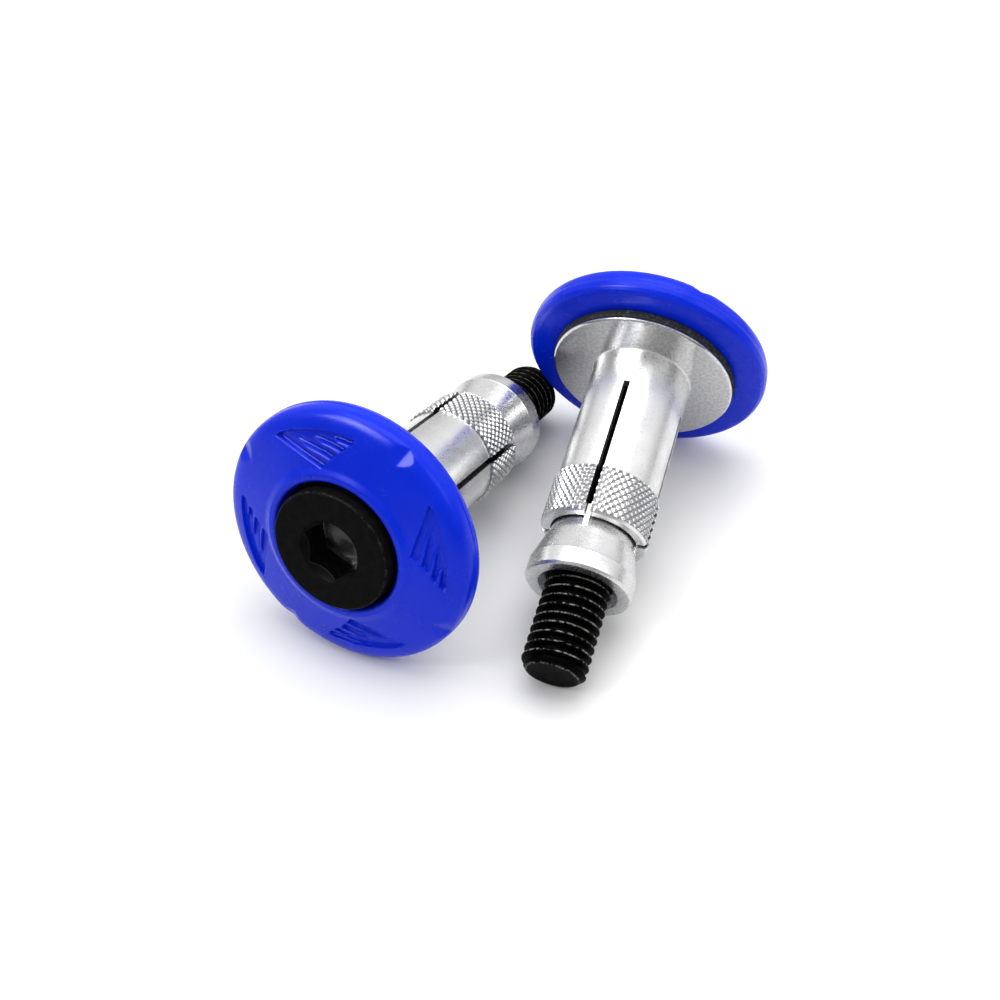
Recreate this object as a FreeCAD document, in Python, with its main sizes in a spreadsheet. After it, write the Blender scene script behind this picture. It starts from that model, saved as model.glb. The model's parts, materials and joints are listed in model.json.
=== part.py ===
import FreeCAD
import Part
import math
import os
import Sketcher
from FreeCAD import Placement, Rotation, Vector

# A pair of expanding bar end plugs lying on a flat surface.
# Each plug is a flanged, slotted sleeve that goes inside the end of a
# handlebar.  A black M10 bolt runs through a nylon end cap, a rubber washer
# and the sleeve, and draws a keyed cone nut into the sleeve's mouth, which
# spreads the sleeve's four fingers against the inside of the bar.
#
# Every sub-part is drawn about its own Z axis.  z = 0 of a plug is the
# flange face that butts against the handlebar's end, and +Z points along
# the bolt, from the head towards the tip.

os.makedirs("parts", exist_ok=True)
doc = FreeCAD.newDocument("bar_end_plugs")

# ---------------------------------------------------------------- sheet
SIZES = [
    # sleeve
    ("flange_radius", 15.0), ("flange_thick", 0.7), ("flange_edge", 0.25),
    ("tube_radius", 8.1), ("root_chamfer", 0.12),
    ("knurl_radius", 8.55), ("knurl_start", 22.6), ("mouth_pos", 30.7),
    ("mouth_outer_radius", 8.05), ("mouth_chamfer", 0.45),
    ("bore_radius", 6.5), ("mouth_inner_radius", 6.85), ("mouth_flare", 1.2),
    ("web_end", 4.0), ("web_hole_radius", 5.07),
    ("slot_width", 1.0), ("slot_start", 6.4), ("slot_count", 4),
    # rubber washer
    ("rubber_radius", 15.15), ("rubber_thick", 1.25), ("rubber_hole", 5.4),
    # end cap
    ("cap_rim_radius", 20.0), ("cap_rim_pos", 3.36), ("cap_rear_radius", 19.6),
    ("cap_rear_bevel", 0.45), ("cap_shoulder_radius", 19.85),
    ("cap_shoulder_pos", 5.2), ("cap_front_radius", 19.35),
    ("cap_front_pos", 6.2), ("cap_face_radius", 18.75), ("cap_face_pos", 6.62),
    ("lip_foot_radius", 11.6), ("lip_foot_pos", 8.18), ("lip_top_radius", 10.75),
    ("lip_top_pos", 8.55), ("pocket_radius", 10.1), ("lip_inner_pos", 8.3),
    ("pocket_floor_pos", 3.6), ("cap_hole_radius", 5.4),
    ("recess_depth", 0.62), ("notch_start_radius", 17.3),
    ("notch_start_pos", 6.94), ("notch_slope", 33.0), ("notch_flare", 3.92),
    ("notch_height", 1.5), ("notch_reach", 4.2),
    # head washer
    ("head_washer_radius", 9.9), ("head_washer_thick", 0.9),
    ("head_washer_hole", 5.4),
    # bolt
    ("head_radius", 9.3), ("head_face_pos", 10.0), ("head_chamfer", 0.3),
    ("head_thick", 5.5), ("hex_flats", 8.0), ("hex_depth", 4.7),
    ("hex_chamfer_radius", 4.89), ("hex_chamfer_depth", 0.3),
    ("shank_radius", 5.0), ("tip_pos", 53.8), ("tip_radius", 4.0),
    ("tip_chamfer", 0.9),
    # cone nut
    ("nut_small_pos", 28.7), ("nut_small_radius", 5.93),
    ("nut_edge_pos", 36.85), ("nut_edge_radius", 8.25),
    ("nut_land_radius", 8.33), ("nut_end_pos", 39.8), ("nut_end_chamfer", 0.4),
    ("nut_bore_radius", 5.07), ("nut_sink_radius", 6.15), ("nut_sink_depth", 1.0),
    ("key_width", 0.87), ("key_radius", 7.0), ("key_root_radius", 5.5),
    ("key_length", 3.75),
    # where the two plugs lie (degrees about the vertical, then the roll of
    # the cap and of the sleeve about the plug's own axis)
    ("left_heading", 64.75), ("left_pos_x", -20.44), ("left_pos_y", -15.31),
    ("left_cap_roll", 0.0), ("left_sleeve_roll", 72.5),
    ("right_heading", -105.15), ("right_pos_x", 20.15), ("right_pos_y", 17.96),
    ("right_cap_roll", 37.5), ("right_sleeve_roll", 4.4),
    ("hex_roll_left", 18.0), ("hex_roll_right", 40.0),
]
sheet = doc.addObject("Spreadsheet::Sheet", "Sizes")
for row, (alias, number) in enumerate(SIZES, start=1):
    sheet.set("A%d" % row, alias)
    sheet.set("B%d" % row, str(number))
    sheet.setAlias("B%d" % row, alias)
doc.recompute()


class Dim:
    """A length with its value and the sheet expression that drives it."""

    def __init__(self, value, text):
        self.value = value
        self.text = text

    @staticmethod
    def of(other):
        if isinstance(other, Dim):
            return other
        return Dim(float(other), "(%r)" % float(other))

    def __add__(self, other):
        other = Dim.of(other)
        return Dim(self.value + other.value, "(%s + %s)" % (self.text, other.text))

    def __sub__(self, other):
        other = Dim.of(other)
        return Dim(self.value - other.value, "(%s - %s)" % (self.text, other.text))

    def __mul__(self, other):
        other = Dim.of(other)
        return Dim(self.value * other.value, "(%s * %s)" % (self.text, other.text))

    def __truediv__(self, other):
        other = Dim.of(other)
        return Dim(self.value / other.value, "(%s / %s)" % (self.text, other.text))


def size(alias):
    return Dim(float(sheet.get(alias)), "Sizes." + alias)


def plane(body, role):
    for item in body.Origin.OriginFeatures:
        if item.Role == role:
            return item
    raise RuntimeError("no plane " + role)


def polygon(body, name, role, points):
    """A closed polygon sketch whose every corner is bound to the sheet."""
    sketch = body.newObject("Sketcher::SketchObject", name)
    sketch.AttachmentSupport = [(plane(body, role), "")]
    sketch.MapMode = "FlatFace"
    count = len(points)
    for i in range(count):
        a = points[i]
        b = points[(i + 1) % count]
        sketch.addGeometry(Part.LineSegment(
            Vector(a[0].value, a[1].value, 0), Vector(b[0].value, b[1].value, 0)), False)
    for i in range(count):
        sketch.addConstraint(Sketcher.Constraint("Coincident", i, 2, (i + 1) % count, 1))
    for i, point in enumerate(points):
        for kind, dim, axis in (("DistanceX", point[0], -2), ("DistanceY", point[1], -1)):
            if abs(dim.value) < 1e-9:
                sketch.addConstraint(Sketcher.Constraint("PointOnObject", i, 1, axis))
            else:
                index = sketch.addConstraint(
                    Sketcher.Constraint(kind, -1, 1, i, 1, dim.value))
                sketch.setExpression("Constraints[%d]" % index, dim.text)
    return sketch


def new_body(label):
    body = doc.addObject("PartDesign::Body", label)
    body.Label = label
    return body


def revolve(body, name, points):
    sketch = polygon(body, name + "_profile", "XZ_Plane", points)
    turn = body.newObject("PartDesign::Revolution", name)
    turn.Profile = sketch
    turn.ReferenceAxis = (sketch, ["V_Axis"])
    turn.Angle = 360.0
    body.Tip = turn
    return turn


def around(body, feature, sketch, name, count):
    pattern = body.newObject("PartDesign::PolarPattern", name)
    pattern.Originals = [feature]
    pattern.Axis = (sketch, ["N_Axis"])
    pattern.Angle = 360.0
    pattern.Occurrences = count
    body.Tip = pattern
    return pattern


def cut_along(body, name, sketch, length, forward):
    """Pocket along the sketch normal: forward cuts towards +normal."""
    pocket = body.newObject("PartDesign::Pocket", name)
    pocket.Profile = sketch
    pocket.Reversed = forward
    pocket.Length = length.value
    pocket.setExpression("Length", length.text)
    body.Tip = pocket
    return pocket


ZERO = Dim(0.0, "0")


def expander_sleeve(label):
    body = new_body(label)
    f = size("flange_thick")          # body z = plug z + flange_thick
    revolve(body, "sleeve_turned", [
        (size("web_hole_radius"), ZERO),
        (size("flange_radius") - size("flange_edge"), ZERO),
        (size("flange_radius"), size("flange_edge")),
        (size("flange_radius"), f - size("flange_edge")),
        (size("flange_radius") - size("flange_edge"), f),
        (size("tube_radius") + size("root_chamfer"), f),
        (size("tube_radius"), f + size("root_chamfer")),
        (size("tube_radius"), f + size("knurl_start") - 0.45),
        (size("knurl_radius"), f + size("knurl_start")),
        (size("knurl_radius"), f + size("mouth_pos") - size("mouth_chamfer")),
        (size("mouth_outer_radius"), f + size("mouth_pos")),
        (size("mouth_inner_radius"), f + size("mouth_pos")),
        (size("bore_radius"), f + size("mouth_pos") - size("mouth_flare")),
        (size("bore_radius"), f + size("web_end")),
        (size("web_hole_radius"), f + size("web_end")),
    ])
    half = size("slot_width") / 2.0
    inner = size("web_hole_radius") - 0.6
    outer = size("flange_radius")
    sketch = polygon(body, "slot_section", "XY_Plane", [
        (inner, ZERO - half), (outer, ZERO - half), (outer, half), (inner, half)])
    sketch.AttachmentOffset = Placement(
        Vector(0, 0, (f + size("mouth_pos") + 1.0).value), Rotation())
    sketch.setExpression(".AttachmentOffset.Base.z", (f + size("mouth_pos") + 1.0).text)
    slot = cut_along(body, "slot", sketch,
                     size("mouth_pos") + 1.0 - size("slot_start"), False)
    around(body, slot, sketch, "slots", int(sheet.get("slot_count")))
    return body, -f.value


def rubber_washer(label):
    body = new_body(label)
    c = Dim(0.15, "0.15")
    r, t, hole = size("rubber_radius"), size("rubber_thick"), size("rubber_hole")
    revolve(body, "rubber_ring", [
        (hole, ZERO), (r - c, ZERO), (r, c), (r, t - c), (r - c, t), (hole, t)])
    return body, -(size("flange_thick").value + t.value)


def end_cap(label):
    body = new_body(label)
    # body z = plug z + lip_top_pos: the lip's top is z = 0
    top = size("lip_top_pos")

    def z(alias):
        return top - size(alias)
    rear = top - size("flange_thick") - size("rubber_thick")
    revolve(body, "cap_moulding", [
        (size("pocket_radius"), z("lip_inner_pos")),
        (size("pocket_radius") + 0.3, Dim(0.04, "0.04")),
        (size("lip_top_radius"), ZERO),
        (size("lip_top_radius") + 0.45, Dim(0.12, "0.12")),
        (size("lip_foot_radius"), z("lip_foot_pos")),
        (size("cap_face_radius"), z("cap_face_pos")),
        (size("cap_front_radius"), z("cap_front_pos")),
        (size("cap_shoulder_radius"), z("cap_shoulder_pos")),
        (size("cap_rim_radius"), z("cap_rim_pos")),
        (size("cap_rear_radius") + 0.1, rear - size("cap_rear_bevel")),
        (size("cap_rear_radius") - 0.3, rear),
        (size("cap_hole_radius"), rear),
        (size("cap_hole_radius"), z("pocket_floor_pos")),
        (size("pocket_radius"), z("pocket_floor_pos")),
    ])
    # four shallow curved-triangle recesses in the sloping front face; each
    # is cut square to the cone of the face at the recess's middle
    slope = math.degrees(math.atan2(
        (size("lip_foot_pos") - size("cap_face_pos")).value,
        (size("cap_face_radius") - size("lip_foot_radius")).value))
    middle_radius = 15.2
    middle_angle = 76.0
    rise = (middle_radius - size("lip_foot_radius").value) * math.tan(math.radians(slope))
    base_z = z("lip_foot_pos").value + rise
    outline = [(17.5, 50.5), (17.6, 62.0), (17.65, 74.0), (17.6, 85.0), (17.3, 96.0),
               (16.1, 95.0), (15.6, 91.8), (14.5, 90.0), (14.1, 86.8), (12.9, 84.5),
               (12.5, 80.5), (11.95, 77.0)]
    flat = []
    for radius, angle in outline:
        turn = math.radians(angle - middle_angle)
        radial = radius * math.cos(turn) - middle_radius
        across = radius * math.sin(turn)
        flat.append((radial / math.cos(math.radians(slope)), across))
    sketch = polygon(body, "recess_outline", "XY_Plane", [
        (Dim(u, repr(round(u, 4))), Dim(v, repr(round(v, 4)))) for u, v in flat])
    swing = Rotation(Vector(0, 0, 1), middle_angle)
    tip_over = Rotation(Vector(0, 1, 0), -slope)
    sketch.AttachmentOffset = Placement(
        swing.multVec(Vector(middle_radius, 0, base_z)), swing.multiply(tip_over))
    recess = cut_along(body, "recess", sketch, size("recess_depth"), True)
    pattern = body.newObject("PartDesign::PolarPattern", "recesses")
    pattern.Originals = [recess]
    pattern.Axis = (plane(body, "Z_Axis"), [""])
    pattern.Angle = 360.0
    pattern.Occurrences = 4
    body.Tip = pattern
    # four V-shaped notches: the valley of each runs outwards over the front
    # bevel, steeper than the face, so the notch deepens towards the rim
    height = size("notch_height")
    width = height * size("notch_flare")
    section = polygon(body, "notch_section", "XY_Plane", [
        (ZERO, ZERO), (width * -1.0, height * -1.0), (width, height * -1.0)])
    tilt = math.radians(size("notch_slope").value)
    reach = size("notch_reach").value
    valley = Placement(FreeCAD.Matrix(
        0.0, -math.sin(tilt), math.cos(tilt), size("notch_start_radius").value + reach,
        1.0, 0.0, 0.0, 0.0,
        0.0, math.cos(tilt), math.sin(tilt), z("notch_start_pos").value + reach * math.tan(tilt),
        0.0, 0.0, 0.0, 1.0))
    section.AttachmentOffset = Placement(
        Vector(0, 0, 0), Rotation(Vector(0, 0, 1), 27.5)).multiply(valley)
    notch = cut_along(body, "rim_notch", section, size("notch_reach") * 1.35, False)
    pattern = body.newObject("PartDesign::PolarPattern", "rim_notches")
    pattern.Originals = [notch]
    pattern.Axis = (plane(body, "Z_Axis"), [""])
    pattern.Angle = 360.0
    pattern.Occurrences = 4
    body.Tip = pattern
    return body, -top.value


def head_washer(label):
    body = new_body(label)
    r, t, hole = (size("head_washer_radius"), size("head_washer_thick"),
                  size("head_washer_hole"))
    revolve(body, "washer_ring", [(hole, ZERO), (r, ZERO), (r, t), (hole, t)])
    return body, -(size("pocket_floor_pos").value + t.value)


def bolt(label, hex_roll):
    body = new_body(label)
    # body z = plug z + head_face_pos: the head's face is z = 0
    face = size("head_face_pos")
    c = size("head_chamfer")
    revolve(body, "bolt_turned", [
        (ZERO, ZERO), (size("head_radius") - c, ZERO), (size("head_radius"), c),
        (size("head_radius"), size("head_thick") - 0.15),
        (size("head_radius") - 0.15, size("head_thick")),
        (size("shank_radius"), size("head_thick")),
        (size("shank_radius"), face + size("tip_pos") - size("tip_chamfer")),
        (size("tip_radius"), face + size("tip_pos")),
        (ZERO, face + size("tip_pos"))])
    corner = size("hex_flats") / math.sqrt(3.0)
    points = []
    for i in range(6):
        turn = math.radians(60.0 * i)
        points.append((corner * math.cos(turn) if abs(math.cos(turn)) > 1e-9 else ZERO,
                       corner * math.sin(turn) if abs(math.sin(turn)) > 1e-9 else ZERO))
    sketch = polygon(body, "hex_outline", "XY_Plane", points)
    sketch.AttachmentOffset = Placement(Vector(0, 0, 0), Rotation(Vector(0, 0, 1), hex_roll))
    cut_along(body, "hex_socket", sketch, size("hex_depth"), True)
    groove_sketch = polygon(body, "lead_in_profile", "XZ_Plane", [
        (ZERO, ZERO - 0.2), (size("hex_chamfer_radius") + 0.2, ZERO - 0.2),
        (size("hex_chamfer_radius") - size("hex_chamfer_depth"), size("hex_chamfer_depth")),
        (ZERO, size("hex_chamfer_depth"))])
    groove = body.newObject("PartDesign::Groove", "lead_in")
    groove.Profile = groove_sketch
    groove.ReferenceAxis = (groove_sketch, ["V_Axis"])
    groove.Angle = 360.0
    body.Tip = groove
    return body, -face.value


def cone_nut(label):
    body = new_body(label)
    start = size("nut_small_pos")      # body z = plug z - nut_small_pos

    def z(alias):
        return size(alias) - start
    end = z("nut_end_pos")
    revolve(body, "nut_turned", [
        (size("nut_bore_radius"), ZERO), (size("nut_small_radius"), ZERO),
        (size("nut_edge_radius"), z("nut_edge_pos")),
        (size("nut_land_radius"), z("nut_edge_pos") + 0.25),
        (size("nut_land_radius"), end - size("nut_end_chamfer")),
        (size("nut_land_radius") - size("nut_end_chamfer"), end),
        (size("nut_sink_radius"), end),
        (size("nut_bore_radius"), end - size("nut_sink_depth"))])
    half = size("key_width") / 2.0
    sketch = polygon(body, "key_section", "XY_Plane", [
        (size("key_root_radius"), ZERO - half), (size("key_radius"), ZERO - half),
        (size("key_radius"), half), (size("key_root_radius"), half)])
    key = body.newObject("PartDesign::Pad", "key")
    key.Profile = sketch
    key.Length = size("key_length").value
    key.setExpression("Length", "Sizes.key_length")
    body.Tip = key
    around(body, key, sketch, "keys", int(sheet.get("slot_count")))
    return body, start.value


# ---------------------------------------------------------------- assembly
# Each plug lies on its cap's rim and on the end of its thread, so the slope
# of its axis follows from those two circles.
rim_radius = size("cap_rim_radius").value
rim_pos = -size("cap_rim_pos").value
thread_radius = size("shank_radius").value
thread_pos = size("tip_pos").value - size("tip_chamfer").value
slope = math.atan2(rim_radius - thread_radius, thread_pos - rim_pos)
origin_height = rim_pos * math.sin(slope) + rim_radius * math.cos(slope)

nodes = []
for side in ("left", "right"):
    heading = math.radians(size(side + "_heading").value)
    along = Vector(math.cos(heading) * math.cos(slope),
                   math.sin(heading) * math.cos(slope), -math.sin(slope))
    across = Vector(0, 0, 1).cross(along)
    across.normalize()
    raised = along.cross(across)
    stand = Placement(FreeCAD.Matrix(
        across.x, raised.x, along.x, 0.0,
        across.y, raised.y, along.y, 0.0,
        across.z, raised.z, along.z, 0.0,
        0.0, 0.0, 0.0, 1.0))
    stand.Base = Vector(size(side + "_pos_x").value, size(side + "_pos_y").value,
                        origin_height)
    cap_roll = size(side + "_cap_roll").value
    sleeve_roll = size(side + "_sleeve_roll").value
    made = [
        (end_cap("end_cap_" + side), cap_roll),
        (head_washer("head_washer_" + side), 0.0),
        (rubber_washer("rubber_washer_" + side), 0.0),
        (expander_sleeve("expander_sleeve_" + side), sleeve_roll),
        (bolt("bolt_" + side, size("hex_roll_" + side).value), 0.0),
        (cone_nut("cone_nut_" + side), sleeve_roll),
    ]
    for (body, start), roll in made:
        local = Placement(Vector(0, 0, start), Rotation(Vector(0, 0, 1), roll))
        body.Placement = stand.multiply(local)
        nodes.append(body)

doc.recompute()

for item in doc.Objects:
    for state in item.State:
        if state in ("Invalid", "Error"):
            raise RuntimeError("%s is %s" % (item.Label, state))

for body in nodes:
    shape = body.Shape
    if shape.isNull() or not shape.isValid() or len(shape.Solids) != 1:
        raise RuntimeError("bad shape: " + body.Label)
    shape.exportStep("parts/%s.step" % body.Label)
    print("%-24s volume %9.2f mm3  faces %3d" % (body.Label, shape.Volume, len(shape.Faces)))
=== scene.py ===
import json
import math

import bmesh
import bpy
import numpy as np
from mathutils import Matrix, Vector


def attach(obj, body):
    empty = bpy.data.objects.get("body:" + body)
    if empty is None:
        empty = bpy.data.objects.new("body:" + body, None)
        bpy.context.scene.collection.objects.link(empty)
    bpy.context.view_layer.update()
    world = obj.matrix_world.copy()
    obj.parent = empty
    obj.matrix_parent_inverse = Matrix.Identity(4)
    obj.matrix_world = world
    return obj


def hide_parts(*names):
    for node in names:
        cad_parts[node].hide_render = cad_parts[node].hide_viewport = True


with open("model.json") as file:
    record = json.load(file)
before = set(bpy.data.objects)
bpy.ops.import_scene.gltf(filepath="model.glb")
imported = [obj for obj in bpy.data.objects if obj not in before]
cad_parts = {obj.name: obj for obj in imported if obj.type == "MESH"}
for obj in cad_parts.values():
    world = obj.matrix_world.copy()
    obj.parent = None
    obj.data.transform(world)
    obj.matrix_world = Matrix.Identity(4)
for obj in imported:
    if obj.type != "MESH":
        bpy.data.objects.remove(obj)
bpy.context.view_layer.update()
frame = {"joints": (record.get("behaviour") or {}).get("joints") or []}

MM = 0.001
SIDES = ("left", "right")
# roll of each piece about its plug's own axis, in degrees, as the CAD has it
CAP_ROLL = {"left": 0.0, "right": 37.5}
SLEEVE_ROLL = {"left": 72.5, "right": 4.4}
HEX_ROLL = {"left": 18.0, "right": 40.0}
JOINTS = {j["name"]: j for j in frame["joints"]}


def plug_frame(side):
    """Row frame of one plug: z = 0 at the flange's seat, +Z towards the bolt's tip, +Y up."""
    joint = JOINTS[side + "_bolt_turn"]
    origin = Vector(joint["pos_m"])
    along = Vector(joint["axis"]).normalized()
    across = Vector((0, 0, 1)).cross(along).normalized()
    raised = along.cross(across)
    m = Matrix.Identity(4)
    for i in range(3):
        m[i][0], m[i][1], m[i][2], m[i][3] = across[i], raised[i], along[i], origin[i]
    return m


PLUG = {side: plug_frame(side) for side in SIDES}


# ------------------------------------------------------------------ mesh code
def rounded(points, step=14.0):
    """A polyline of (r, z, radius): each corner with a radius becomes an arc."""
    out = []
    count = len(points)
    for i, (r, z, rad) in enumerate(points):
        if rad <= 0 or i in (0, count - 1):
            out.append((r, z))
            continue
        p = np.array((r, z), float)
        a = np.array(points[i - 1][:2], float) - p
        b = np.array(points[i + 1][:2], float) - p
        la, lb = np.linalg.norm(a), np.linalg.norm(b)
        a, b = a / la, b / lb
        turn = math.pi - math.acos(max(-1.0, min(1.0, float(a @ b))))
        reach = min(rad * math.tan(turn / 2), 0.49 * la, 0.49 * lb)
        rad = reach / math.tan(turn / 2)
        middle = a + b
        middle /= np.linalg.norm(middle)
        centre = p + middle * (rad / math.cos(turn / 2))
        start, end = p + a * reach - centre, p + b * reach - centre
        t0 = math.atan2(start[1], start[0])
        t1 = math.atan2(end[1], end[0])
        sweep = (t1 - t0 + math.pi) % (2 * math.pi) - math.pi
        n = max(2, int(math.ceil(abs(math.degrees(sweep)) / step)))
        for k in range(n + 1):
            t = t0 + sweep * k / n
            out.append((centre[0] + rad * math.cos(t), centre[1] + rad * math.sin(t)))
    return out


def bezier(a, b, c, d, count):
    t = np.linspace(0, 1, count + 1)[:, None]
    a, b, c, d = (np.array(k, float) for k in (a, b, c, d))
    curve = (1 - t) ** 3 * a + 3 * t * (1 - t) ** 2 * b + 3 * t * t * (1 - t) * c + t ** 3 * d
    return [tuple(k) for k in curve]


def divided(points, longest):
    """Splits the runs of a polyline so that none is longer than longest(r, z)."""
    out = [points[0]]
    for a, b in zip(points[:-1], points[1:]):
        length = math.hypot(b[0] - a[0], b[1] - a[1])
        most = longest(0.5 * (a[0] + b[0]), 0.5 * (a[1] + b[1]))
        n = max(1, int(math.ceil(length / most)))
        for k in range(1, n + 1):
            out.append((a[0] + (b[0] - a[0]) * k / n, a[1] + (b[1] - a[1]) * k / n))
    return out


def grid_faces(rows, columns, closed_rows=False):
    i = np.arange(rows if closed_rows else rows - 1)[:, None]
    j = np.arange(columns)[None, :]
    i2, j2 = (i + 1) % rows, (j + 1) % columns
    quads = np.stack([i * columns + j, i * columns + j2, i2 * columns + j2, i2 * columns + j + 0 * j2], -1)
    return quads.reshape(-1, 4)


def piece(name, verts, faces, side, body, material, node, sharp=32.0, second=None):
    """Builds one piece from its plug's frame (millimetres) and lets it ride on its body."""
    mesh = bpy.data.meshes.new(name)
    turn = np.array(PLUG[side].to_3x3())
    placed = (np.asarray(verts, float) * MM) @ turn.T + np.array(PLUG[side].translation)
    mesh.from_pydata([tuple(v) for v in placed], [], [tuple(int(k) for k in f) for f in faces])
    bm = bmesh.new()
    bm.from_mesh(mesh)
    if second is not None:
        bm.faces.ensure_lookup_table()
        for k in range(second[1]):
            bm.faces[k].material_index = 1
    bmesh.ops.remove_doubles(bm, verts=bm.verts, dist=2e-7)
    bmesh.ops.dissolve_degenerate(bm, edges=bm.edges, dist=1e-8)
    bmesh.ops.recalc_face_normals(bm, faces=bm.faces)
    if bm.calc_volume(signed=True) < 0:
        bmesh.ops.reverse_faces(bm, faces=bm.faces)
    bm.to_mesh(mesh)
    bm.free()
    mesh.shade_smooth()
    mesh.set_sharp_from_angle(angle=math.radians(sharp))
    mesh.materials.append(material)
    if second is not None:
        mesh.materials.append(second[0])
    ob = bpy.data.objects.new(name, mesh)
    bpy.context.scene.collection.objects.link(ob)
    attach(ob, body)
    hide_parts(node)
    return ob


def turned(profile, columns, closed=True, radius_of=None):
    """Vertices of a turned shape: profile of (r, z), columns round the axis."""
    theta = np.arange(columns) * 2 * math.pi / columns
    p = np.asarray(profile, float)
    r = np.repeat(p[:, 0][:, None], columns, 1)
    z = np.repeat(p[:, 1][:, None], columns, 1)
    return r, z, np.repeat(theta[None, :], len(p), 0)


def to_verts(r, z, theta):
    return np.stack([r * np.cos(theta), r * np.sin(theta), z], -1).reshape(-1, 3)


def smooth(x, lo, hi):
    t = np.clip((x - lo) / (hi - lo), 0.0, 1.0)
    return t * t * (3 - 2 * t)


# ------------------------------------------------------------------ end cap
def polar(radius, angle):
    t = math.radians(angle)
    return (radius * math.cos(t), radius * math.sin(t))


def segment_distance(x, y, a, b):
    """Distance to a segment, and how far along it the nearest point is."""
    ax, ay = a
    dx, dy = b[0] - ax, b[1] - ay
    t = np.clip(((x - ax) * dx + (y - ay) * dy) / (dx * dx + dy * dy), 0.0, 1.0)
    return np.hypot(x - ax - t * dx, y - ay - t * dy), t


def inside_distance(x, y, outline):
    """Signed distance to a closed polygon, positive inside."""
    best = np.full(x.shape, 1e9)
    inside = np.zeros(x.shape, bool)
    n = len(outline)
    for k in range(n):
        a, b = outline[k], outline[(k + 1) % n]
        d, _ = segment_distance(x, y, a, b)
        best = np.minimum(best, d)
        cross = ((a[1] > y) != (b[1] > y)) & (
            x < (b[0] - a[0]) * (y - a[1]) / (b[1] - a[1] + 1e-15) + a[0])
        inside ^= cross
    return np.where(inside, best, -best)


RECESS = [(17.45, 50.0), (17.62, 53.0), (17.6, 56.0), (17.5, 60.0), (17.4, 64.0), (17.3, 68.0), (17.25, 72.0),
          (17.2, 76.0), (17.17, 80.0), (17.15, 84.0), (17.15, 88.0), (17.17, 92.0), (17.15, 95.3), (16.6, 95.4),
          (16.05, 94.2), (15.75, 93.5), (15.45, 92.3), (14.85, 90.2), (14.5, 89.2), (14.25, 87.3), (13.65, 84.7),
          (13.1, 83.4), (12.7, 80.8), (12.2, 78.6), (11.9, 77.0)]
RIBS = [
    [(16.35, 60.2), (15.2, 64.6), (14.15, 71.9), (13.75, 76.2), (13.05, 83.4)],
    [(16.2, 70.8), (15.55, 75.0), (15.0, 82.0), (14.5, 89.2)],
    [(16.3, 82.6), (16.0, 85.5), (15.75, 93.5)],
]


def recess_depth(x, y):
    """Depth of the ribbed recess below the cap's face, for the motif that starts at 50 degrees."""
    outline = [polar(*p) for p in RECESS]
    sd = inside_distance(x, y, outline)
    floor = 0.62 * smooth(sd, -0.05, 0.24)
    # each groove is deepest along its inner side and rises gently towards the rim
    inner_a, inner_b = polar(17.45, 50.0), polar(11.9, 77.0)
    rib_height = np.zeros_like(x)
    lean = np.zeros_like(x)
    d0, _ = segment_distance(x, y, inner_a, inner_b)
    lean = np.maximum(lean, 0.10 * np.exp(-((d0 - 0.35) / 0.5) ** 2))
    for rib in RIBS:
        pts = [polar(*p) for p in rib]
        total = sum(math.dist(a, b) for a, b in zip(pts[:-1], pts[1:]))
        run = 0.0
        near = np.full(x.shape, 1e9)
        along = np.zeros(x.shape)
        side = np.zeros(x.shape)
        for a, b in zip(pts[:-1], pts[1:]):
            d, t = segment_distance(x, y, a, b)
            length = math.dist(a, b)
            cross = (b[0] - a[0]) * (y - a[1]) - (b[1] - a[1]) * (x - a[0])
            closer = d < near
            near = np.where(closer, d, near)
            along = np.where(closer, (run + t * length) / total, along)
            side = np.where(closer, np.sign(cross), side)
            run += length
        half = 0.05 + 0.17 * along
        ramp = smooth(along, 0.0, 0.42)
        rib_height = np.maximum(rib_height, 0.57 * ramp * (1 - smooth(near, half, half + 0.24)))
        lean = np.maximum(lean, 0.16 * ramp * np.exp(-((near - half - 0.32) / 0.34) ** 2) * (side < 0))
    depth = floor - rib_height * smooth(sd, -0.05, 0.05) + lean * smooth(sd, 0.1, 0.3)
    return np.clip(depth, 0.0, 1.0)


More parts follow.
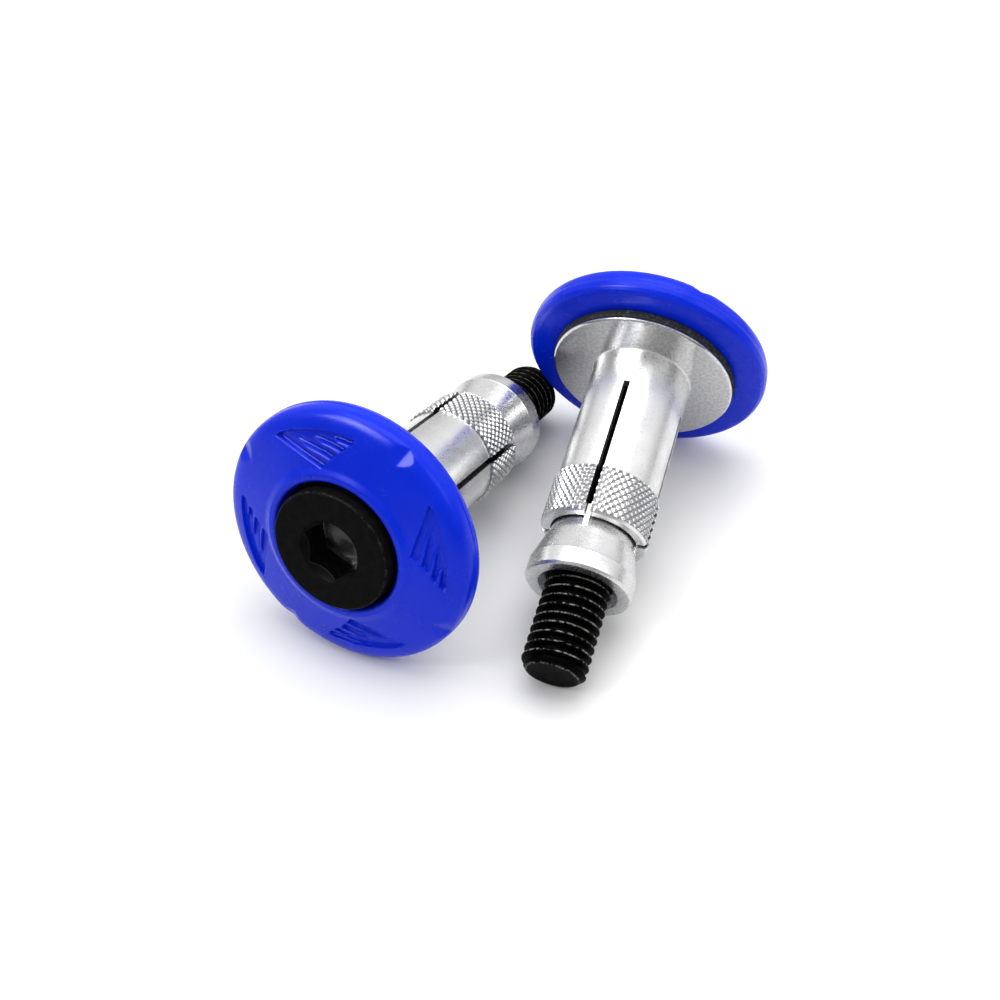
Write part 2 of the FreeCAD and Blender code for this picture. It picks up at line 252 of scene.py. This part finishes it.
def end_cap(side, material):
    columns = 900
    outline = rounded([
        (5.4, -3.6, 0), (10.1, -3.6, 0.15), (10.1, -8.36, 0.2), (10.38, -8.6, 0.42), (11.15, -8.56, 0.7),
        (12.1, -8.08, 1.6), (16.9, -7.026, 0)], step=9.0)
    outline += bezier((16.9, -7.026), (19.35, -6.49), (20.07, -6.0), (19.95, -3.84), 32)[1:]
    outline += rounded([(20.0, -3.80, 0), (20.0, -3.36, 0.25), (19.78, -2.62, 0.4), (19.3, -2.08, 0.4),
                        (18.6, -1.95, 0.3), (5.4, -1.95, 0)], step=11.0)

    def longest(r, z):
        if z < -6.0 and 11.0 < r < 18.4:
            return 0.088
        if r > 18.3 and z < -1.9:
            return 0.16
        if z < -6.5:
            return 0.25
        return 1.4
    profile = divided(outline, longest)
    profile = profile + divided([profile[-1], (5.4, -3.6)], lambda r, z: 0.9)[1:-1]
    r, z, theta = turned(profile, columns)
    roll = math.radians(CAP_ROLL[side])
    p = np.asarray(profile)
    # four recesses
    rows = np.where((p[:, 1] < -6.3) & (p[:, 0] > 11.3) & (p[:, 0] < 18.2))[0]
    for quarter in range(4):
        a = theta[rows][:, :] - quarter * math.pi / 2
        a = (a + math.pi) % (2 * math.pi) - math.pi
        pick = (a > math.radians(45)) & (a < math.radians(100))
        cols = np.where(pick[0])[0]
        block = np.ix_(rows, cols)
        x, y = r[block] * np.cos(a[:, cols]), r[block] * np.sin(a[:, cols])
        z[block] += recess_depth(x, y)
    # four shallow V-shaped notches that run out over the front bevel
    for quarter in range(4):
        middle = math.radians(27.5 + 90 * quarter)
        a = (theta - middle + math.pi) % (2 * math.pi) - math.pi
        across = np.sqrt((r * np.sin(a)) ** 2 + 0.06) - 0.245 + 0.0
        valley = -6.94 + (r * np.cos(a) - 17.3) * 0.649
        floor_z = valley - 0.304 * np.maximum(across, 0.0)
        front = (p[:, 1][:, None] < -4.2) & (r > 16.8) & (np.abs(a) < math.radians(16))
        gap = floor_z - z
        soft = 0.5 * (gap + np.sqrt(gap ** 2 + 0.0036)) - 0.0
        z += np.where(front & (gap > -0.3), soft * smooth(gap, -0.3, -0.06), 0.0)
    verts = to_verts(r, z, theta + roll)
    return piece("end_cap_moulding_" + side, verts, grid_faces(len(profile), columns, True), side,
                 side + "_plug", material, "end_cap_" + side, sharp=55)


# ------------------------------------------------------------------ rubber washer, head washer
def ring(name, side, points, columns, material, node, sharp=32.0, step=15.0):
    profile = rounded(points, step)
    profile = profile + divided([profile[-1], points[0][:2]], lambda r, z: 0.6)[1:-1]
    r, z, theta = turned(profile, columns)
    return piece(name, to_verts(r, z, theta), grid_faces(len(profile), columns, True), side,
                 side + "_plug", material, node, sharp)


# ------------------------------------------------------------------ expander sleeve
def expander_sleeve(side, material):
    slot_half = 0.5
    start = 6.4
    starts = 46
    outer = rounded([
        (5.07, -0.7, 0), (14.75, -0.7, 0.1), (15.0, -0.45, 0.08), (15.0, -0.27, 0.08), (14.74, 0.0, 0.06),
        (8.2, 0.0, 0.03), (8.1, 0.1, 0.05), (8.1, start, 0)], 18)
    outer2 = divided([(8.1, start), (8.1, 22.15)], lambda r, z: 1.6)[1:]
    outer3 = [(8.1, 22.42), (8.13, 22.5)]
    knurl = divided([(8.55, 22.56), (8.55, 30.24)], lambda r, z: 0.083)
    mouth = rounded([(8.42, 30.34, 0), (8.08, 30.7, 0.08), (6.86, 30.7, 0.08), (6.5, 29.5, 0.1), (6.5, 29.0, 0)], 18)
    inner = divided([(6.5, 29.0), (6.5, start)], lambda r, z: 2.0)[1:]
    web = [(6.5, 4.0), (5.07, 4.0)]
    profile = outer + outer2 + outer3 + knurl + mouth + inner + web
    low = len(outer) - 1                                   # outer row at the slots' closed end
    high = len(profile) - len(web) - 1                     # inner row at the slots' closed end
    rows = len(profile)
    p = np.asarray(profile, float)
    # columns: each quarter is one slot (4 cells) and one finger
    finger, gap = 126, 4
    per = finger + gap
    columns = 4 * per
    roll = math.radians(SLEEVE_ROLL[side])
    r = np.repeat(p[:, 0][:, None], columns, 1)
    z = np.repeat(p[:, 1][:, None], columns, 1)
    theta = np.zeros((rows, columns))
    for q in range(4):
        for k in range(per):
            c = q * per + k
            edge = np.arcsin(slot_half / np.maximum(p[:, 0], slot_half * 1.01))
            if k <= gap:
                t = -1 + 2.0 * k / gap
                theta[:, c] = q * math.pi / 2 + edge * t
            else:
                t = (k - gap) / finger
                theta[:, c] = q * math.pi / 2 + edge + (math.pi / 2 - 2 * edge) * t
    # diamond knurl: two crossing families of helical grooves
    first = len(outer) + len(outer2) + len(outer3)
    last = first + len(knurl)
    band = slice(first, last)
    lead = 1.33
    u = starts * theta[band] / (2 * math.pi)
    w = z[band] / lead
    f1 = np.abs(((u + w) % 1.0) - 0.5) * 2
    f2 = np.abs(((u - w) % 1.0) - 0.5) * 2
    height = np.clip(np.minimum(f1, f2) * 1.62 - 0.03, 0.0, 1.0)
    fade = smooth(z[band], 22.5, 22.66)
    r[band] = 8.12 + (0.14 + 0.25 * height) * fade
    # slot edges stay in one plane after the knurl
    for q in range(4):
        for k, sign in ((0, -1), (gap, 1)):
            c = q * per + k
            theta[:, c] = q * math.pi / 2 + sign * np.arcsin(slot_half / np.maximum(r[:, c], slot_half * 1.01))
    verts = to_verts(r, z, theta + roll)
    faces = []
    for i in range(rows):
        i2 = (i + 1) % rows
        cut = low <= i < high
        for c in range(columns):
            if cut and (c % per) < gap:
                continue
            c2 = (c + 1) % columns
            faces.append((i * columns + c, i * columns + c2, i2 * columns + c2, i2 * columns + c))
    # slot walls and closed ends
    for q in range(4):
        for k in (0, gap):
            c = q * per + k
            o_rows = list(range(low, high + 1))
            # each wall is one face whose outline follows the profile from the outer run round the mouth to the inner
            # run
            faces.append(tuple(i * columns + c for i in o_rows))
        for k in range(gap):
            c = q * per + k
            faces.append((low * columns + c, low * columns + c + 1, high * columns + c + 1, high * columns + c))
    return piece("sleeve_" + side, verts, faces, side, side + "_plug", material,
                 "expander_sleeve_" + side, sharp=38)


# ------------------------------------------------------------------ cone nut
def cone_nut(side, material):
    columns = 192
    profile = rounded([
        (5.07, 28.7, 0), (5.93, 28.7, 0.08), (8.25, 36.78, 0.05), (8.33, 36.95, 0.05), (8.33, 39.38, 0.08),
        (7.95, 39.8, 0.06), (6.2, 39.8, 0.06), (5.2, 38.8, 0)], 18)
    profile = divided(profile, lambda r, z: 1.5)
    profile = profile + divided([profile[-1], (5.07, 38.6), (5.07, 28.7)], lambda r, z: 2.5)[1:-1]
    r, z, theta = turned(profile, columns)
    verts = to_verts(r, z, theta)
    faces = list(grid_faces(len(profile), columns, True))
    roll = math.radians(SLEEVE_ROLL[side])
    verts = list(verts)
    for q in range(4):
        t = roll + q * math.pi / 2
        ca, sa = math.cos(t), math.sin(t)
        base = len(verts)
        b = 0.05
        section = [(5.4, -0.435), (7.0 - b, -0.435), (7.0, -0.435 + b), (7.0, 0.435 - b), (7.0 - b, 0.435), (5.4, 0.435)]
        for zz in (28.72, 32.45):
            for x, y in section:
                verts.append((x * ca - y * sa, x * sa + y * ca, zz))
        n = len(section)
        for k in range(n):
            k2 = (k + 1) % n
            faces.append((base + k, base + k2, base + n + k2, base + n + k))
        faces.append(tuple(base + k for k in range(n)))
        faces.append(tuple(base + n + k for k in reversed(range(n))))
    return piece("nut_" + side, verts, faces, side, side + "_nut", material,
                 "cone_nut_" + side, sharp=30)


# ------------------------------------------------------------------ bolt
def bolt(side, material, socket_material):
    columns = 144
    theta1 = np.arange(columns) * 2 * math.pi / columns
    roll = math.radians(HEX_ROLL[side])
    sector = (theta1 + math.pi / 6) % (math.pi / 3) - math.pi / 6   # 0 at a corner
    hexr = 4.0 / np.cos(math.pi / 6 - np.abs(sector))
    face = -10.0
    rings = []                                             # (r per column, z per column)

    def add(r, z):
        rings.append((np.broadcast_to(np.asarray(r, float), (columns,)).copy(),
                      np.broadcast_to(np.asarray(z, float), (columns,)).copy()))
    add(0.0, face + 5.6)
    add(1.6, face + 5.2)
    add(3.3, face + 4.72)
    add(3.45, face + 4.7)
    add(hexr - 0.12, face + 4.7)
    add(hexr - 0.03, face + 4.66)
    add(hexr, face + 4.55)
    add(hexr, face + 2.9)
    top = 4.93 - hexr
    add(hexr, face + np.maximum(top + 0.03, 0.1))
    add(hexr + 0.02, face + top - 0.01)
    add(4.89, face + 0.035)
    add(4.93, face)
    for rr in (6.0, 7.2, 8.3, 8.93):
        add(rr, face)
    add(8.99, face + 0.01)
    add(9.27, face + 0.27)
    add(9.3, face + 0.34)
    for zz in (1.5, 3.2, 5.2):
        add(9.3, face + zz)
    add(9.26, face + 5.44)
    add(9.16, face + 5.5)
    add(5.4, face + 5.5)
    add(5.0, face + 5.5)
    for zz in (6.0, 12.0, 20.0, 28.0, 33.0):
        add(5.0, face + zz)
    # rolled M10 x 1.5 thread, right-handed
    pitch = 1.5
    end = 53.8
    zs = np.arange(24.0, end + 1e-6, pitch / 22)
    for zz in zs:
        phase = (zz / pitch - theta1 / (2 * math.pi)) % 1.0
        x = np.abs(phase - 0.5) * pitch
        t = np.clip((x - 0.085) / (0.585 - 0.085), 0, 1)
        t = t + 0.06 * np.sin(2 * math.pi * t) * -1.0
        rr = 5.0 - 0.9 * t
        rr = 5.0 - (5.0 - rr) * smooth(zz, 24.0, 26.5)
        cone = 4.02 + (end - zz) * 1.02
        rr = np.minimum(rr, cone)
        add(rr, zz)
    add(3.86, end + 0.02)
    add(3.3, end - 0.03)
    add(1.5, end - 0.05)
    add(0.0, end - 0.05)
    r = np.array([a for a, _ in rings])
    z = np.array([b for _, b in rings])
    theta = np.repeat(theta1[None, :], len(rings), 0)
    theta = theta + roll
    verts = to_verts(r, z, theta)
    faces = grid_faces(len(rings), columns)
    return piece("bolt_turned_" + side, verts, faces, side, side + "_bolt", material,
                 "bolt_" + side, sharp=34, second=(socket_material, 9 * columns))


# ------------------------------------------------------------------ materials
def material(name):
    m = bpy.data.materials.new(name)
    m.use_nodes = True
    tree = m.node_tree
    tree.nodes.clear()
    out = tree.nodes.new("ShaderNodeOutputMaterial")
    shader = tree.nodes.new("ShaderNodeBsdfPrincipled")
    tree.links.new(shader.outputs["BSDF"], out.inputs["Surface"])
    return m, tree, shader


def ramp(tree, source, stops):
    n = tree.nodes.new("ShaderNodeValToRGB")
    while len(n.color_ramp.elements) > 1:
        n.color_ramp.elements.remove(n.color_ramp.elements[-1])
    for k, (at, colour) in enumerate(stops):
        e = n.color_ramp.elements[0] if k == 0 else n.color_ramp.elements.new(at)
        e.position = at
        e.color = colour if isinstance(colour, tuple) else (colour, colour, colour, 1)
    tree.links.new(source, n.inputs["Fac"])
    return n.outputs["Color"]


def plug_coords(tree, side):
    """Texture coordinates in the plug's own frame, so patterns follow its axis."""
    tc = tree.nodes.new("ShaderNodeTexCoord")
    mp = tree.nodes.new("ShaderNodeMapping")
    mp.vector_type = "TEXTURE"
    mp.inputs["Location"].default_value = PLUG[side].translation
    mp.inputs["Rotation"].default_value = PLUG[side].to_euler("XYZ")
    tree.links.new(tc.outputs["Object"], mp.inputs["Vector"])
    return mp.outputs["Vector"]


def parts(tree, vector):
    n = tree.nodes.new("ShaderNodeSeparateXYZ")
    tree.links.new(vector, n.inputs[0])
    return n.outputs


def maths(tree, kind, a, b=None, clamp=False):
    n = tree.nodes.new("ShaderNodeMath")
    n.operation = kind
    n.use_clamp = clamp
    if kind == "MULTIPLY_ADD":
        n.inputs[2].default_value = 0.5
    for socket, value in ((n.inputs[0], a), (n.inputs[1], b)):
        if value is None:
            continue
        if isinstance(value, (int, float)):
            socket.default_value = value
        else:
            tree.links.new(value, socket)
    return n.outputs[0]


def radius_of(tree, vector):
    x, y, z = parts(tree, vector)
    return maths(tree, "SQRT", maths(tree, "ADD", maths(tree, "MULTIPLY", x, x), maths(tree, "MULTIPLY", y, y))), z


def lathe_coords(tree, vector):
    """(radius, 0, z): a pattern in these runs round the axis like tool marks."""
    r, z = radius_of(tree, vector)
    n = tree.nodes.new("ShaderNodeCombineXYZ")
    tree.links.new(r, n.inputs[0])
    tree.links.new(z, n.inputs[2])
    return n.outputs[0]


def noise(tree, vector, scale, detail=2.0, rough=0.5):
    n = tree.nodes.new("ShaderNodeTexNoise")
    n.inputs["Scale"].default_value = scale
    n.inputs["Detail"].default_value = detail
    n.inputs["Roughness"].default_value = rough
    tree.links.new(vector, n.inputs["Vector"])
    return n.outputs["Fac"]


def bump(tree, shader, height, strength, distance):
    b = tree.nodes.new("ShaderNodeBump")
    b.inputs["Strength"].default_value = strength
    b.inputs["Distance"].default_value = distance
    tree.links.new(height, b.inputs["Height"])
    tree.links.new(b.outputs["Normal"], shader.inputs["Normal"])
    return b


def mix_value(tree, a, b, fac):
    n = tree.nodes.new("ShaderNodeMix")
    n.data_type = "FLOAT"
    for socket, value in ((n.inputs[0], fac), (n.inputs[2], a), (n.inputs[3], b)):
        if isinstance(value, (int, float)):
            socket.default_value = value
        else:
            tree.links.new(value, socket)
    return n.outputs[0]


def mix_colour(tree, a, b, fac):
    n = tree.nodes.new("ShaderNodeMix")
    n.data_type = "RGBA"
    for socket, value in ((n.inputs[0], fac), (n.inputs[6], a), (n.inputs[7], b)):
        if isinstance(value, (int, float, tuple)):
            socket.default_value = value
        else:
            tree.links.new(value, socket)
    return n.outputs[2]


def between(tree, value, lo, hi):
    """0 below lo, 1 above hi, smooth in between."""
    n = tree.nodes.new("ShaderNodeMapRange")
    n.interpolation_type = "SMOOTHSTEP"
    n.inputs["From Min"].default_value = lo
    n.inputs["From Max"].default_value = hi
    tree.links.new(value, n.inputs["Value"])
    return n.outputs["Result"]


def blue_nylon(side):
    m, t, s = material("blue_nylon_" + side)
    v = plug_coords(t, side)
    cloud = noise(t, v, 90.0, 3.0)
    t.links.new(ramp(t, cloud, [(0.3, (0.0001, 0.0175, 0.57, 1)), (0.7, (0.0002, 0.0235, 0.66, 1))]), s.inputs["Base Color"])
    rough = ramp(t, noise(t, v, 320.0, 3.0), [(0.3, 0.22), (0.75, 0.30)])
    t.links.new(rough, s.inputs["Roughness"])
    bump(t, s, noise(t, v, 2600.0, 2.0), 0.1, 0.00003)
    s.inputs["IOR"].default_value = 1.5
    s.inputs["Specular IOR Level"].default_value = 0.2
    s.inputs["Specular Tint"].default_value = (0.62, 0.62, 1.0, 1)
    s.inputs["Coat Weight"].default_value = 0.03
    s.inputs["Coat Roughness"].default_value = 0.16
    return m


def black_oxide(side):
    """Blackened steel, rubbed bright along the thread's crests and at sharp edges; painted shade makes the threaded
    shank darker than the head.
    """
    m, t, s = material("black_oxide_steel_" + side)
    v = plug_coords(t, side)
    r, z = radius_of(t, v)
    cloud = noise(t, v, 700.0, 4.0)
    dark = ramp(t, cloud, [(0.35, (0.0036, 0.0036, 0.0038, 1)), (0.75, (0.0070, 0.0068, 0.0064, 1))])
    threaded = between(t, z, 0.0255, 0.0265)
    crest = maths(t, "MULTIPLY", threaded, between(t, r, 0.00492, 0.004995))
    ring_in = between(t, r, 0.0037, 0.00392)
    ring_out = maths(t, "SUBTRACT", 1.0, between(t, r, 0.00404, 0.00422))
    tip_edge = maths(t, "MULTIPLY", between(t, z, 0.0535, 0.0537), maths(t, "MULTIPLY", ring_in, ring_out))
    rim = maths(t, "MULTIPLY", between(t, r, 0.00899, 0.00906), maths(t, "SUBTRACT", 1.0, between(t, z, -0.00985, -0.0096)))
    patchy = ramp(t, noise(t, v, 1500.0, 6.0, 0.7), [(0.46, 0.0), (0.62, 1.0)])
    # painted shade: beyond z 25.5–26.5 mm the black is pulled down to 0.0012, standing in for the shade in the
    # thread's grooves
    dark = mix_colour(t, dark, (0.0012, 0.0012, 0.0012, 1), threaded)
    wear = maths(t, "MAXIMUM", maths(t, "MULTIPLY", crest, 0.6 if side == "right" else 0.3), maths(t, "MULTIPLY", tip_edge, 0.5))
    wear = maths(t, "MULTIPLY", wear, patchy)
    wear = maths(t, "MAXIMUM", wear, maths(t, "MULTIPLY", maths(t, "MULTIPLY", rim, patchy), 0.05), clamp=True)
    t.links.new(mix_colour(t, dark, (0.42, 0.41, 0.39, 1), wear), s.inputs["Base Color"])
    t.links.new(wear, s.inputs["Metallic"])
    base_rough = ramp(t, noise(t, v, 1500.0, 3.0), [(0.3, 0.33), (0.75, 0.48)])
    t.links.new(mix_value(t, base_rough, 0.28, wear), s.inputs["Roughness"])
    s.inputs["IOR"].default_value = 1.5
    s.inputs["Specular IOR Level"].default_value = 0.012
    bump(t, s, noise(t, v, 3200.0, 3.0), 0.22, 0.00004)
    return m


def black_socket(side):
    """The broached walls of the hexagon socket: blackened, but smooth enough to glint."""
    m, t, s = material("black_oxide_socket_" + side)
    v = plug_coords(t, side)
    t.links.new(ramp(t, noise(t, v, 900.0, 4.0), [(0.35, 0.0015), (0.75, 0.004)]), s.inputs["Base Color"])
    t.links.new(ramp(t, noise(t, v, 1300.0, 3.0), [(0.3, 0.12), (0.75, 0.24)]), s.inputs["Roughness"])
    s.inputs["IOR"].default_value = 1.5
    s.inputs["Specular IOR Level"].default_value = 0.5
    bump(t, s, noise(t, v, 1400.0, 2.0), 0.1, 0.00003)
    return m


def black_rubber(side):
    m, t, s = material("black_rubber_" + side)
    v = plug_coords(t, side)
    t.links.new(ramp(t, noise(t, v, 2300.0, 5.0, 0.6), [(0.35, (0.004, 0.004, 0.004, 1)), (0.55, (0.014, 0.014, 0.014, 1)), (0.68, (0.085, 0.085, 0.085, 1))]), s.inputs["Base Color"])
    t.links.new(ramp(t, noise(t, v, 900.0, 2.0), [(0.3, 0.6), (0.75, 0.78)]), s.inputs["Roughness"])
    s.inputs["Specular IOR Level"].default_value = 0.25
    bump(t, s, noise(t, v, 2400.0, 4.0), 0.6, 0.00008)
    return m


def black_steel(side):
    m, t, s = material("black_steel_" + side)
    v = plug_coords(t, side)
    t.links.new(ramp(t, noise(t, v, 600.0, 3.0), [(0.35, 0.003), (0.75, 0.006)]), s.inputs["Base Color"])
    t.links.new(ramp(t, noise(t, v, 900.0, 2.0), [(0.3, 0.55), (0.75, 0.7)]), s.inputs["Roughness"])
    s.inputs["Specular IOR Level"].default_value = 0.2
    bump(t, s, noise(t, v, 2400.0, 3.0), 0.2, 0.00004)
    return m


def aluminium(name, side, tone, rough_lo, rough_hi, line_strength, flange=None):
    """Turned aluminium: fine tool lines round the axis, soft cloudy tarnish, faint specks; on the sleeve, painted
    shade darkens the knurl's grooves.
    """
    m, t, s = material(name + "_" + side)
    s.inputs["Metallic"].default_value = 1.0
    v = plug_coords(t, side)
    cloud = noise(t, v, 240.0, 4.0)
    lo, hi = tone * 0.88, tone
    base = ramp(t, cloud, [(0.3, (lo, lo, lo, 1)), (0.7, (hi, hi, hi, 1))])
    specks = ramp(t, noise(t, v, 1700.0, 5.0, 0.65), [(0.30, 0.0), (0.39, 1.0)])
    base = mix_colour(t, (tone * 0.78, tone * 0.78, tone * 0.78, 1), base, specks)
    if flange is not None:
        r, z = radius_of(t, v)
        on_face = maths(t, "MULTIPLY", between(t, r, 0.0083, 0.0085), between(t, z, -0.0004, -0.0002))
        grain = ramp(t, noise(t, v, 1900.0, 4.0, 0.7), [(0.42, 0.50), (0.58, 0.72)])
        base = mix_colour(t, base, grain, maths(t, "MULTIPLY", on_face, 0.85))
        knurled = maths(t, "MULTIPLY", between(t, z, 0.0223, 0.0226), maths(t, "SUBTRACT", 1.0, between(t, z, 0.0302, 0.0304)))
        # painted shade: in the knurled band, below r 8.25–8.45 mm, the colour is pulled towards grey 0.10, standing in
        # for the shade in the knurl's grooves
        painted_groove_shade = maths(t, "MULTIPLY", knurled, maths(t, "SUBTRACT", 1.0, between(t, r, 0.00825, 0.00845)))
        base = mix_colour(t, base, (0.10, 0.10, 0.10, 1), maths(t, "MULTIPLY", painted_groove_shade, 0.85))
    t.links.new(base, s.inputs["Base Color"])
    lines = noise(t, lathe_coords(t, v), 5200.0, 3.0, 0.6)
    grit = noise(t, v, 2600.0, 3.0)
    r1 = ramp(t, lines, [(0.3, rough_lo), (0.7, rough_hi)])
    r2 = ramp(t, grit, [(0.35, rough_lo), (0.7, rough_hi * 1.15)])
    rough = mix_value(t, r1, r2, 0.5)
    if flange is not None:
        rough = mix_value(t, rough, maths(t, "MULTIPLY", rough, flange), on_face)
    t.links.new(rough, s.inputs["Roughness"])
    bump(t, s, mix_value(t, lines, grit, 0.35), line_strength, 0.00003)
    return m


MATS = {}
for side in SIDES:
    MATS[side] = {
        "cap": blue_nylon(side),
        "bolt": black_oxide(side),
        "socket": black_socket(side),
        "rubber": black_rubber(side),
        "washer": black_steel(side),
        "sleeve": aluminium("turned_aluminium", side, 0.78, 0.24, 0.36, 0.30, flange=0.42),
        "nut": aluminium("polished_aluminium", side, 0.71, 0.22, 0.34, 0.28),
    }

for side in SIDES:
    own = MATS[side]
    end_cap(side, own["cap"])
    ring("rubber_ring_" + side, side,
         [(5.4, -1.95, 0), (15.02, -1.95, 0.12), (15.17, -1.8, 0.12), (15.17, -0.85, 0.12), (15.02, -0.7, 0.12),
          (5.4, -0.7, 0)], 240, own["rubber"], "rubber_washer_" + side)
    ring("washer_ring_" + side, side,
         [(5.4, -4.48, 0), (9.82, -4.48, 0.06), (9.9, -4.40, 0.06), (9.9, -3.68, 0.06), (9.82, -3.6, 0.06),
          (5.4, -3.6, 0)], 144, own["washer"], "head_washer_" + side)
    expander_sleeve(side, own["sleeve"])
    bolt(side, own["bolt"], own["socket"])
    cone_nut(side, own["nut"])

# ------------------------------------------------------------------ floor, light, camera
def floor():
    size = 6.0
    mesh = bpy.data.meshes.new("floor")
    mesh.from_pydata([(-size, -size, -2e-5), (size, -size, -2e-5), (size, size, -2e-5), (-size, size, -2e-5)], [], [(0, 1, 2, 3)])
    ob = bpy.data.objects.new("floor", mesh)
    bpy.context.scene.collection.objects.link(ob)
    m, t, s = material("floor_white")
    tc = t.nodes.new("ShaderNodeTexCoord")
    t.links.new(ramp(t, noise(t, tc.outputs["Object"], 30.0, 3.0), [(0.3, 0.80), (0.7, 0.82)]), s.inputs["Base Color"])
    s.inputs["Roughness"].default_value = 0.8
    s.inputs["Specular IOR Level"].default_value = 0.1
    mesh.materials.append(m)


floor()


def softbox(name, location, target, size, radiance):
    light = bpy.data.lights.new(name, "AREA")
    light.shape = "RECTANGLE"
    light.size, light.size_y = size
    light.energy = radiance * math.pi * size[0] * size[1]
    ob = bpy.data.objects.new(name, light)
    bpy.context.scene.collection.objects.link(ob)
    ob.location = location
    direction = Vector(target) - Vector(location)
    ob.rotation_euler = direction.to_track_quat("-Z", "Y").to_euler()
    return ob


softbox("overhead", (0.0, 0.075, 0.45), (0, 0.01, 0.0), (0.46, 0.34), 2.9)
softbox("key", (-0.268, -0.155, 0.350), (0, 0, 0.02), (0.09, 0.09), 14.0)
softbox("fill", (0.36, -0.16, 0.36), (0, 0, 0.0), (0.26, 0.26), 2.1)
gloss = softbox("gloss_card", (-0.275, -0.158, 0.358), (0, 0, 0.02), (0.25, 0.25), 14.0)
gloss.visible_diffuse = False                      # seen only in reflections

world = bpy.data.worlds.new("studio")
world.use_nodes = True
wt = world.node_tree
sky = wt.nodes["Background"]
wc = wt.nodes.new("ShaderNodeTexCoord")
wx, wy, wz = parts(wt, wc.outputs["Generated"])
height = ramp(wt, maths(wt, "MULTIPLY_ADD", wz, 0.5), [(0.0, 0.3), (0.5, 0.30), (0.55, 0.46), (0.63, 0.9), (0.8, 1.0), (1.0, 1.0)])
behind = ramp(wt, maths(wt, "MULTIPLY_ADD", wy, 0.5), [(0.0, 0.36), (0.35, 0.45), (0.65, 0.8), (1.0, 0.8)])
across = ramp(wt, maths(wt, "MULTIPLY_ADD", wx, 0.5), [(0.0, 0.8), (0.3, 0.8), (0.5, 0.72), (0.75, 0.9), (1.0, 1.0)])
amount = maths(wt, "MULTIPLY", maths(wt, "MULTIPLY", height, behind), across)
wt.links.new(maths(wt, "MULTIPLY", amount, 1.6), sky.inputs["Strength"])
sky.inputs["Color"].default_value = (1, 1, 1, 1)
bpy.context.scene.world = world
bpy.context.scene.view_settings.view_transform = "Standard"

cam_data = bpy.data.cameras.new("camera")
cam_data.sensor_width = 36.0
cam_data.lens = 44.21
cam_data.shift_x = -0.07475
cam_data.shift_y = 0.01329
cam_data.clip_start = 0.01
cam_data.clip_end = 40.0
cam = bpy.data.objects.new("camera", cam_data)
bpy.context.scene.collection.objects.link(cam)
right = Vector((0.99987, 0.01127, 0.01110))
down = Vector((0.01582, -0.71253, -0.70147))
ahead = Vector((0.0, 0.70155, -0.71262))
cam.matrix_world = Matrix((
    (right.x, -down.x, -ahead.x, 0.009515),
    (right.y, -down.y, -ahead.y, -0.139471),
    (right.z, -down.z, -ahead.z, 0.146816),
    (0, 0, 0, 1)))
bpy.context.scene.camera = cam
